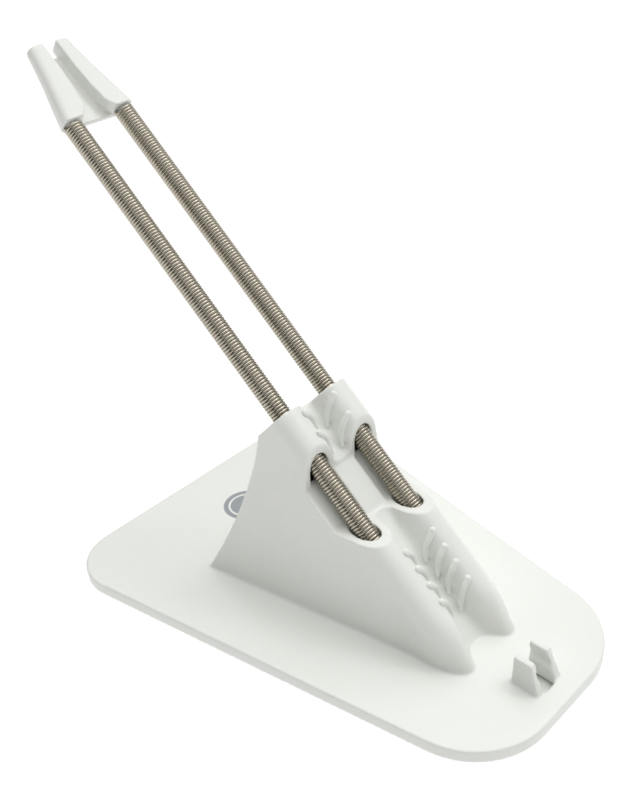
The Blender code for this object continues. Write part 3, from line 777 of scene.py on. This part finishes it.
@dataclass
class CordHead:
    """The forked head on the springs' upper ends, with a flared groove for the cord.

    `outline` gives the head's half width and half depth at shares of its length, and `groove`
    the groove's half width at heights over the head's lower face.
    """

    arm: ArmFrame
    material: bpy.types.Material
    outline: tuple[tuple[float, float, float], ...] = (
        (0.0, 10.7 * MM, 2.9 * MM),
        (0.28, 9.3 * MM, 2.75 * MM),
        (0.55, 7.95 * MM, 2.55 * MM),
        (0.8, 6.9 * MM, 2.35 * MM),
        (1.0, 6.2 * MM, 2.2 * MM),
    )
    end_allowance: float = 0.2 * MM
    groove: tuple[tuple[float, float], ...] = (
        (-1.0 * MM, 5.4 * MM),
        (0.2 * MM, 4.7 * MM),
        (1.2 * MM, 3.7 * MM),
        (2.4 * MM, 3.1 * MM),
        (6.4 * MM, 2.45 * MM),
        (12.9 * MM, 2.0 * MM),
    )
    groove_floor: float = -1.2 * MM
    groove_top: float = 1.8 * MM
    cut_reach: float = 6 * MM
    tip_notch: float = 2.6 * MM
    tip_flare: float = 0.1 * MM
    spring_gap: float = 0.3 * MM
    wire: float = 0.8 * MM
    peg_slack: float = 0.25 * MM
    peg_chamfer: float = 0.4 * MM
    voxel: float = 0.2 * MM
    round_passes: int = 20
    side_round: float = 2.1 * MM

    def build(self) -> bpy.types.Object:
        """Models, rounds, dresses and fastens the head.

        Returns:
            The finished head.
        """
        top = self.arm.span("cord_head")[1]
        bottom = self.arm.span("spring_left_upper")[1] + self.spring_gap
        length = top - bottom
        body = self.body(length)
        cut(body, self.groove_cutter(length))
        cut(body, self.tip_cutter(length))
        soften(body, self.voxel, self.round_passes)
        pegs = [self.peg(side, bottom) for side in Side]
        settle(body, self.arm.matrix(bottom))
        head = join([body, *pegs])
        head.data.shade_smooth()
        dress(head, self.material)
        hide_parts("cord_head")
        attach(head, "arm_upper")
        LOG.info("cord_head_moulding: %.1f mm long", length / MM)
        return head

    def body(self, length: float) -> bpy.types.Object:
        """The tapered block with rounded sides, a little long, as smoothing shortens it.

        Args:
            length: From the springs' ends to the prongs' tips.

        Returns:
            The block, upright on the origin.
        """
        sections = [(share * length, half, -deep, deep) for share, half, deep in self.outline]
        sections[0] = (-self.end_allowance, *sections[0][1:])
        sections[-1] = (length + self.end_allowance, *sections[-1][1:])
        body = section_stack("cord_head_moulding", sections)
        round_upright_edges(body, self.side_round)
        return body

    def groove_cutter(self, length: float) -> bpy.types.Object:
        """The cord's groove, flared towards the springs.

        Args:
            length: From the springs' ends to the prongs' tips.

        Returns:
            The cutter.
        """
        steps = (*self.groove, (length + MM, self.groove_top))
        sections = [(z, half, self.groove_floor, self.cut_reach) for z, half in steps]
        return section_stack("head_groove", sections)

    def tip_cutter(self, length: float) -> bpy.types.Object:
        """The notch between the prongs' tips, through the groove's floor.

        Args:
            length: From the springs' ends to the prongs' tips.

        Returns:
            The cutter.
        """
        reach = self.cut_reach
        low, high = length - self.tip_notch, length + MM
        wider = self.groove_top + self.tip_flare
        sections = [(low, self.groove_top, -reach, reach), (high, wider, -reach, reach)]
        return section_stack("head_tip", sections)

    def peg(self, side: Side, bottom: float) -> bpy.types.Object:
        """A peg inside a spring's upper end, with a chamfered tip.

        Args:
            side: The spring's side.
            bottom: The head's lower face, along the arm.

        Returns:
            The peg, in place.
        """
        low = self.arm.span("cord_head")[0]
        radius = self.arm.radius - self.wire - self.peg_slack
        length = bottom - low + MM
        clear_selection()
        bpy.ops.mesh.primitive_cylinder_add(
            vertices=32,
            radius=radius,
            depth=length,
            location=(side.value * self.arm.spacing / 2, 0, low + length / 2),
        )
        peg = named(f"head_peg_{side.word}")
        finish_modifier(peg, "BEVEL", width=self.peg_chamfer, segments=2, limit_method="ANGLE")
        return settle(peg, self.arm.matrix())


# --- shell ---------------------------------------------------------------------------------


@dataclass
class MouldedShell:
    """The base and tower, one moulding, with all of its edges softened."""

    arm: ArmFrame
    material: bpy.types.Material
    voxel: float = 0.36 * MM
    edge_passes: int = 5
    kept_faces: float = 0.3
    arch_wall: float = 11.4 * MM
    old_arch_wall: float = 12.6 * MM
    strip_half_width: float = 3.7 * MM
    strip_drop: float = 1.7 * MM
    arch_depth: float = 8.0 * MM
    arch_drop: float = 3.2 * MM
    arch_half_width: float = 3.1 * MM
    arch_skin: float = 1.5 * MM
    cut_width: float = 30 * MM
    cut_height: float = 14 * MM
    hollow_size: tuple[float, float, float] = (7.0 * MM, 7.5 * MM, 12.0 * MM)

    def build(self) -> bpy.types.Object:
        """Models, rounds, dresses and fastens the shell.

        Returns:
            The finished shell.
        """
        shell = self.copy_of_cad()
        cut(shell, self.wall_cut("strip", 0, 2 * self.strip_half_width + MM, self.strip_drop))
        for side in Side:
            middle = side.value * (self.strip_half_width + self.cut_width / 2)
            cut(shell, self.wall_cut(f"trough_{side.word}", middle, self.cut_width, self.arch_drop))
            cut(shell, self.arch_gap(side))
            cut(shell, self.dark_hollow(side))
        soften(shell, self.voxel, self.edge_passes)
        thin_out(shell, self.kept_faces)
        dress(shell, self.material)
        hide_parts("top_shell")
        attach(shell, "root")
        LOG.info("moulded_shell: %d faces", len(shell.data.polygons))
        return shell

    def copy_of_cad(self) -> bpy.types.Object:
        """A merged copy of the CAD shell, to be shaped further.

        Returns:
            The copy.
        """
        node = frame["nodes"]["top_shell"]
        shell = bpy.data.objects.new("moulded_shell", node.data.copy())
        bpy.context.scene.collection.objects.link(shell)
        recalculate(shell)
        return shell

    def wall_cut(self, name: str, middle: float, width: float, drop: float) -> bpy.types.Object:
        """Sets the collar's upright rear wall back, down to the ramp behind it.

        Args:
            name: The cutter's name.
            middle: Its middle across the stand.
            width: Its width.
            drop: How far below the springs' axes the ramp lies.

        Returns:
            The cutter, in place.
        """
        arm = self.arm
        slope = abs(arm.up.z / arm.up.y)
        along = -(self.arch_wall + drop * arm.normal.y) / abs(arm.up.y)
        foot = arm.point(0, along, -drop)
        clear_selection()
        bpy.ops.mesh.primitive_cube_add(size=2)
        cutter = named(f"wall_cut_{name}")
        reach = self.old_arch_wall - self.arch_wall + MM / 2
        for vert in cutter.data.vertices:
            back = reach if vert.co.y > 0 else 0.0
            rise = self.cut_height if vert.co.z > 0 else -slope * back
            vert.co = (middle + vert.co.x * width / 2, foot.y + back, foot.z + rise)
        return cutter

    def arch_gap(self, side: Side) -> bpy.types.Object:
        """The dark slot under a spring, where it leaves the collar's rear wall.

        Args:
            side: The spring's side.

        Returns:
            The cutter, in place.
        """
        arm = self.arm
        at_axis = -self.arch_wall / abs(arm.up.y)
        low = at_axis - self.arch_drop * arm.normal.y / abs(arm.up.y) - MM
        high = at_axis + self.arch_depth
        clear_selection()
        bpy.ops.mesh.primitive_cube_add(
            size=1,
            location=(side.value * arm.spacing / 2, -self.arch_drop / 2, (low + high) / 2),
            scale=(2 * self.arch_half_width, self.arch_drop, high - low),
        )
        return settle(named(f"arch_gap_{side.word}"), arm.matrix())

    def dark_hollow(self, side: Side) -> bpy.types.Object:
        """The tower's hollow behind the slot, which keeps the slot dark.

        Args:
            side: The spring's side.

        Returns:
            The cutter, in place.
        """
        arm = self.arm
        wall = self.arch_wall - self.arch_skin
        top = arm.root.z - wall * abs(arm.up.z / arm.up.y)
        width, depth, height = self.hollow_size
        middle = side.value * arm.spacing / 2
        clear_selection()
        bpy.ops.mesh.primitive_cube_add(
            size=1,
            location=(middle, arm.root.y + wall - depth / 2, top - height / 2),
            scale=(width, depth, height),
        )
        return settle(named(f"dark_hollow_{side.word}"))


@dataclass
class GripRibs:
    """Raised claw-shaped ribs on both flanks of the valley, thick above and thin below.

    Each point of `path` is a distance across the stand, one down from the rib's start and one
    out of the arm's plane, with the rib's radius there.
    """

    arm: ArmFrame
    shell: bpy.types.Object
    material: bpy.types.Material
    starts: tuple[float, ...] = (2.3 * MM, 8.3 * MM, 43.1 * MM, 47.8 * MM, 52.4 * MM, 57.2 * MM)
    path: tuple[tuple[float, float, float, float], ...] = (
        (5.1 * MM, 0.0 * MM, 4.4 * MM, 0.9 * MM),
        (3.7 * MM, 1.2 * MM, 3.0 * MM, 0.88 * MM),
        (2.8 * MM, 3.1 * MM, 1.0 * MM, 0.74 * MM),
        (1.6 * MM, 5.6 * MM, -0.6 * MM, 0.42 * MM),
    )
    lift: float = 0.25 * MM
    voxel: float = 0.14 * MM
    round_passes: int = 4

    def build(self) -> bpy.types.Object:
        """Models, dresses and fastens all ribs.

        Returns:
            The ribs as one piece.
        """
        ribs = [self.rib(side, number) for side in Side for number in range(len(self.starts))]
        piece = join(ribs)
        piece.name = "grip_ribs"
        soften(piece, self.voxel, self.round_passes)
        dress(piece, self.material)
        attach(piece, "root")
        LOG.info("grip_ribs: %d faces", len(piece.data.polygons))
        return piece

    def on_shell(self, near: Vector) -> Vector:
        """The point just above the shell's skin that is nearest to a point."""
        _, place, normal, _ = self.shell.closest_point_on_mesh(near)
        return place + normal * self.lift

    def rib(self, side: Side, number: int) -> bpy.types.Object:
        """One rib: a curved rod that thins out, with a rounded upper end.

        Args:
            side: The flank that it is on.
            number: Which one, counted downwards.

        Returns:
            The rib, in place.
        """
        start = self.starts[number]
        points = [
            self.on_shell(self.arm.point(side.value * across, -start - down, out))
            for across, down, out, _ in self.path
        ]
        clear_selection()
        bpy.ops.curve.primitive_bezier_curve_add()
        curve = bpy.context.active_object
        bpy.ops.object.mode_set(mode="EDIT")
        bpy.ops.curve.select_all(action="SELECT")
        bpy.ops.curve.subdivide(number_cuts=len(points) - 2)
        bpy.ops.object.mode_set(mode="OBJECT")
        knots = curve.data.splines[0].bezier_points
        for knot, place, (_, _, _, radius) in zip(knots, points, self.path):
            knot.handle_left_type = knot.handle_right_type = "AUTO"
            knot.co = place
            knot.radius = radius / MM
        curve.data.dimensions = "3D"
        curve.data.bevel_depth = MM
        curve.data.bevel_resolution = 4
        curve.data.use_fill_caps = True
        curve.location = (0, 0, 0)
        select_only(curve)
        bpy.ops.object.convert(target="MESH")
        rib = named(f"rib_{side.word}_{number}")
        clear_selection()
        bpy.ops.mesh.primitive_uv_sphere_add(
            segments=24, ring_count=16, radius=self.path[0][3], location=points[0]
        )
        return join([rib, settle(named(f"rib_end_{side.word}_{number}"))])


# --- underside -----------------------------------------------------------------------------


@dataclass
class Underside:
    """The cover, its screws, the feet, and the hardware inside the tower."""

    cover_material: bpy.types.Material

    def build(self) -> None:
        """Dresses the CAD parts that keep their shape."""
        screws = PlainMetal("zinc_plated_screw", "#c6c8ca", "#8f9294", 0.34, 0.4 * MM).build()
        ballast = PlainMetal("sawn_steel_bar", "#8b8a88", "#5d5b59", 0.5, 0.6 * MM).build()
        plug = MouldedAbs(
            "moulded_grey_abs", "#6b6d70", "#636568", roughness=0.45, glow=0.0
        ).build()
        rubber = MouldedRubber().build()
        finishes = {
            "bottom_cover": self.cover_material,
            "ballast_block": ballast,
            "cover_screw": screws,
            "plug_screw": screws,
            "spring_plug": plug,
            "foot": rubber,
        }
        for name, node in frame["nodes"].items():
            for start, material in finishes.items():
                if name.startswith(start):
                    dress(node, material)
                    LOG.info("%s: %s", name, material.name)


# --- studio --------------------------------------------------------------------------------


@dataclass
class Studio:
    """A pale floor, soft light from above, and the camera."""

    camera_place: tuple[float, float, float] = (136.8 * MM, 154.3 * MM, 185.3 * MM)
    azimuth: float = 136.889
    elevation: float = 33.116
    roll: float = -5.0
    lens: float = 44.39
    floor_size: float = 6.0
    sky_centre: tuple[float, float, float] = (-0.2, -0.05, 0.98)
    sky_edge: float = 0.45
    sky_low: float = 0.02
    sky_high: float = 2.5
    horizon: float = 0.72
    horizon_span: tuple[float, float] = (0.1, 0.3)
    key_place: tuple[float, float, float] = (-0.45, 0.3, 0.85)
    key_size: float = 0.25
    key_power: float = 1.2
    floor_glow: float = 0.85

    def build(self) -> None:
        """Sets up floor, world, lights and camera."""
        bpy.context.scene.view_settings.view_transform = "Standard"
        self.floor()
        self.world()
        self.key_light()
        self.camera()

    def camera(self) -> None:
        """Places the camera by its direction, height and slight lean."""
        azimuth, elevation, roll = map(math.radians, (self.azimuth, self.elevation, self.roll))
        level = math.cos(elevation)
        back = Vector((math.sin(azimuth) * level, -math.cos(azimuth) * level, math.sin(elevation)))
        right = Vector((math.cos(azimuth), math.sin(azimuth), 0))
        up = back.cross(right)
        leaned = right * math.cos(roll) + up * math.sin(roll)
        upright = up * math.cos(roll) - right * math.sin(roll)
        data = bpy.data.cameras.new("camera")
        data.lens = self.lens
        data.clip_start = 0.01
        camera = bpy.data.objects.new("camera", data)
        bpy.context.scene.collection.objects.link(camera)
        turn = Matrix((leaned, upright, back)).transposed().to_4x4()
        camera.matrix_world = Matrix.Translation(self.camera_place) @ turn
        bpy.context.scene.camera = camera

    def floor(self) -> None:
        """A wide white sheet under the feet."""
        clear_selection()
        bpy.ops.mesh.primitive_plane_add(size=self.floor_size, location=(0, 0, 0))
        floor = named("studio_floor")
        material, _, shader = new_material("white_paper")
        shader.inputs["Base Color"].default_value = srgb("#8a8a8a")
        shader.inputs["Roughness"].default_value = 1.0
        shader.inputs["Specular IOR Level"].default_value = 0.0
        shader.inputs["Emission Color"].default_value = (1, 1, 1, 1)
        shader.inputs["Emission Strength"].default_value = self.floor_glow
        dress(floor, material)

    def world(self) -> None:
        """A soft white ceiling, dim walls and a pale band low down."""
        world = bpy.data.worlds.new("studio_surround")
        bpy.context.scene.world = world
        world.use_nodes = True
        tree = world.node_tree
        tree.nodes.clear()
        place = add_node(tree, "ShaderNodeTexCoord").outputs["Generated"]
        toward = add_node(
            tree,
            "ShaderNodeVectorMath",
            {0: place},
            {1: self.sky_centre},
            operation="DOT_PRODUCT",
        ).outputs["Value"]
        grade = add_node(
            tree,
            "ShaderNodeMapRange",
            {"Value": toward},
            {
                "From Min": self.sky_edge,
                "From Max": 1.0,
                "To Min": self.sky_low,
                "To Max": self.sky_high,
            },
        )
        height = add_node(tree, "ShaderNodeSeparateXYZ", {"Vector": place}).outputs["Z"]
        horizon = add_node(
            tree,
            "ShaderNodeMapRange",
            {"Value": height},
            {
                "From Min": self.horizon_span[0],
                "From Max": self.horizon_span[1],
                "To Min": self.horizon,
                "To Max": 0.0,
            },
        )
        both = add_node(
            tree,
            "ShaderNodeMath",
            {0: grade.outputs["Result"], 1: horizon.outputs["Result"]},
            operation="ADD",
        )
        light = add_node(tree, "ShaderNodeBackground", {"Strength": both.outputs["Value"]})
        add_node(tree, "ShaderNodeOutputWorld", {"Surface": light.outputs["Background"]})

    def key_light(self) -> None:
        """A small square softbox that points at the object."""
        data = bpy.data.lights.new("key_light", "AREA")
        data.size = self.key_size
        data.energy = self.key_power
        light = bpy.data.objects.new("key_light", data)
        bpy.context.scene.collection.objects.link(light)
        light.location = self.key_place
        light.rotation_euler = (-Vector(self.key_place)).to_track_quat("-Z", "Y").to_euler()


def main() -> None:
    """Builds every part of the picture in order."""
    logging.basicConfig(level=logging.INFO, format="%(name)s: %(message)s")
    Studio().build()
    arm = ArmFrame()
    white = MouldedAbs("moulded_white_abs", "#edefea", "#e9ebe5").build()
    printed = MouldedAbs("printed_white_abs", "#edefea", "#e9ebe5", mark=PrintedMark()).build()
    shell = MouldedShell(arm, printed).build()
    GripRibs(arm, shell, white).build()
    SpringPair(arm, DrawnWire()).build()
    CordHead(arm, white).build()
    Underside(white).build()


if __name__ == "__main__":
    main()
